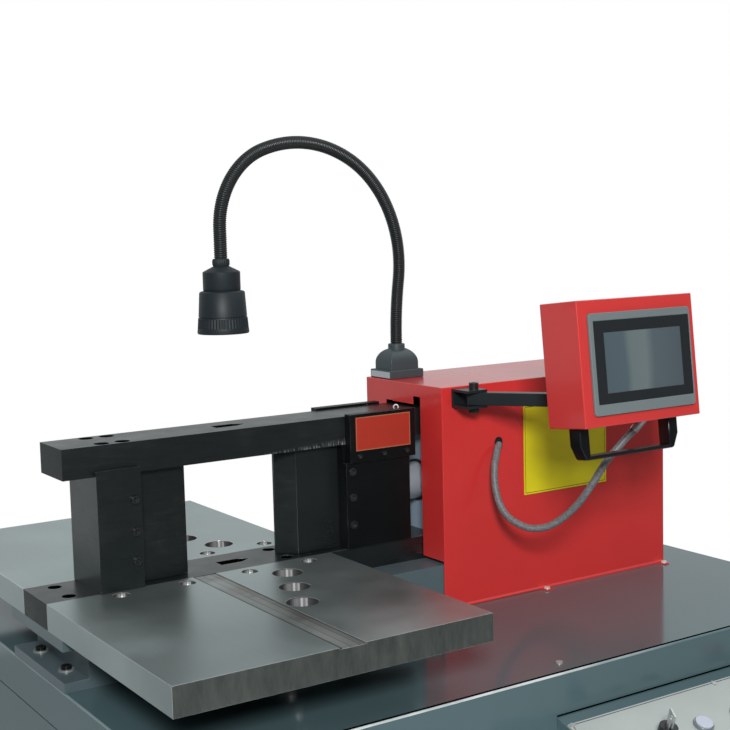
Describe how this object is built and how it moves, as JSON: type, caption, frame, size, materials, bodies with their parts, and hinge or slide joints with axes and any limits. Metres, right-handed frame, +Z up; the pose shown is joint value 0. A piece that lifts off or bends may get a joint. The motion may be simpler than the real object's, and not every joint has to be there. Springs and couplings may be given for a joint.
{
  "type": "busbar bending machine",
  "caption": "Hydraulic busbar bending machine on a floor cabinet, with a ram and die between steel work tables, a red cylinder housing, a gooseneck lamp and a swing-out screen.",
  "frame": {"origin": "on the floor, under the middle of the cabinet's length and on the centre line of the bar", "axes": "+X along the bar from the die to the cylinder, +Y from the operator to the back, +Z up"},
  "size_m": [1.205, 1.0235, 1.518],
  "materials": {
    "cabinet_paint": "satin grey-teal paint",
    "black_screws": "black oxide",
    "control_sheet": "brushed, clear coated",
    "bright_steel": "zinc plated",
    "button_metal": "satin",
    "black_plastic": "matt moulded",
    "white_cap": "smooth",
    "stop_red": "smooth",
    "bed_paint": "satin grey-blue paint",
    "black_steel": "blackened machined steel",
    "ground_steel": "ground and oiled",
    "strip_steel": "tarnished",
    "tag_red": "printed sheet, left bare",
    "chrome": "hard chrome",
    "cylinder_paint": "blue-grey paint",
    "red_paint": "semi-gloss red paint",
    "notice_yellow": "printed sheet, left bare",
    "rubber": "matt",
    "neck_black": "black ringed conduit",
    "lens": "frosted",
    "arm_black": "black paint",
    "bezel_grey": "fine grain",
    "screen_dark": "smooth glass front",
    "cable_grey": "ringed conduit",
    "unit_paint": "blue paint",
    "box_paint": "grey paint"
  },
  "bodies": {
    "machine": {"base_pan": "cabinet_paint", "cabinet_shell": "cabinet_paint", "left_panel": "cabinet_paint", "right_panel": "cabinet_paint", "back_panel": "cabinet_paint", "panel_screws": "black_screws", "console_box": "cabinet_paint", "control_plate": "control_sheet", "control_screws": "bright_steel", "key_lock": "black_plastic", "button_bezels": "button_metal", "bed": "bed_paint", "bed_bolts": "black_screws", "lower_bar": "black_steel", "front_table": "ground_steel", "back_table": "ground_steel", "table_bolts": "bright_steel", "scale_strips": "strip_steel", "upper_beam": "black_steel", "beam_bolts": "black_screws", "beam_eyelet": "bright_steel", "die_column": "black_steel", "die_side_plates": "black_steel", "die_screws": "black_screws", "die": "black_steel", "front_head": "cylinder_paint", "rod_gland": "rubber", "barrel": "cylinder_paint", "rear_cap": "cylinder_paint", "tie_rods": "bright_steel", "housing": "red_paint", "housing_screws": "red_paint", "notice_plate": "notice_yellow", "cable_grommet": "rubber", "lamp_base": "black_plastic", "lamp_neck": "neck_black", "lamp_head": "black_plastic", "lamp_lens": "lens", "arm_bracket": "arm_black", "pivot_bolt": "black_screws", "cable": "cable_grey", "power_unit": "unit_paint", "electrical_box": "box_paint"},
    "ram": {"carriage": "black_steel", "ram_side_plates": "black_steel", "ram_guides": "black_steel", "ram_screws": "black_screws", "punch": "black_steel", "guide_tag": "tag_red", "piston_rod": "chrome"},
    "screen": {"swing_arm": "arm_black", "screen_box": "red_paint", "screen_bezel": "bezel_grey", "screen_glass": "screen_dark", "box_handle": "black_plastic", "cable_fitting": "bright_steel"},
    "key_turner": {"key": "bright_steel"},
    "white_cap": {"white_button": "white_cap"},
    "black_cap": {"black_button": "black_plastic"},
    "stop_head": {"stop_button": "stop_red"}
  },
  "joints": [
    {"name": "ram_slide", "type": "slide", "parent": "machine", "child": "ram", "axis": [-1, 0, 0], "range_m": [0, 0.15]},
    {"name": "screen_swing", "type": "hinge", "parent": "machine", "child": "screen", "pos_m": [0.067, -0.1325, 1.1066], "axis": [0, 0, 1], "range_deg": [-60, 30], "deforming": ["cable"]},
    {"name": "key_turn", "type": "hinge", "parent": "machine", "child": "key_turner", "pos_m": [0.082, -0.52154, 0.6817], "axis": [0, -0.342, 0.9397], "range_deg": [0, 90]},
    {"name": "white_press", "type": "slide", "parent": "machine", "child": "white_cap", "axis": [0, 0.342, -0.9397], "range_m": [0, 0.004], "stiffness_N_per_m": 400, "springref_m": -0.002},
    {"name": "black_press", "type": "slide", "parent": "machine", "child": "black_cap", "axis": [0, 0.342, -0.9397], "range_m": [0, 0.004], "stiffness_N_per_m": 400, "springref_m": -0.002},
    {"name": "stop_press", "type": "slide", "parent": "machine", "child": "stop_head", "axis": [0, 0.342, -0.9397], "range_m": [0, 0.004], "stiffness_N_per_m": 400, "springref_m": -0.002}
  ]
}
